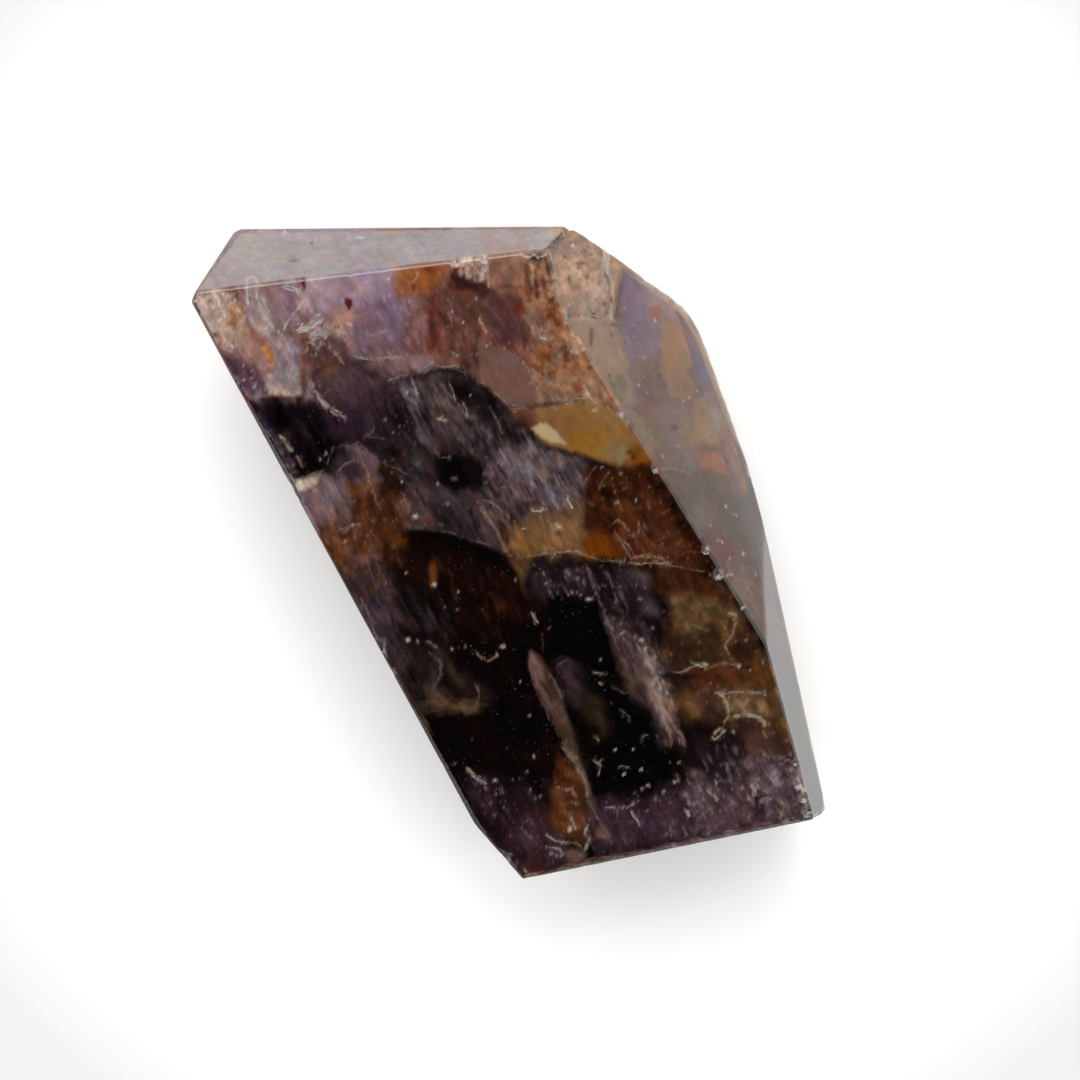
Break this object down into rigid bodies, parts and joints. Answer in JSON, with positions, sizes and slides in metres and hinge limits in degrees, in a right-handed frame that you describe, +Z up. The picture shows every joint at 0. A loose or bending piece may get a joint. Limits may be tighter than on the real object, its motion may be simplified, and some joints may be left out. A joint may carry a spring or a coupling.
{
  "type": "quartz crystal point",
  "caption": "Loose polished quartz point with purple, smoky and iron-stained zones, flat ground faces and a slanted tip; lies on its flat back for display.",
  "frame": {"origin": "centre of the bounding box's underside, on the surface the stone lies on", "axes": "+Z up through the large main face, +Y along the crystal's long axis toward its point, +X toward the bevelled side"},
  "size_m": [0.028, 0.0506, 0.0175],
  "materials": {
    "quartz": "polished clear quartz, dark with purple, smoky brown and iron-stained zones; pale crust at one corner"
  },
  "bodies": {
    "root": {"quartz_point": "quartz"}
  },
  "joints": []
}
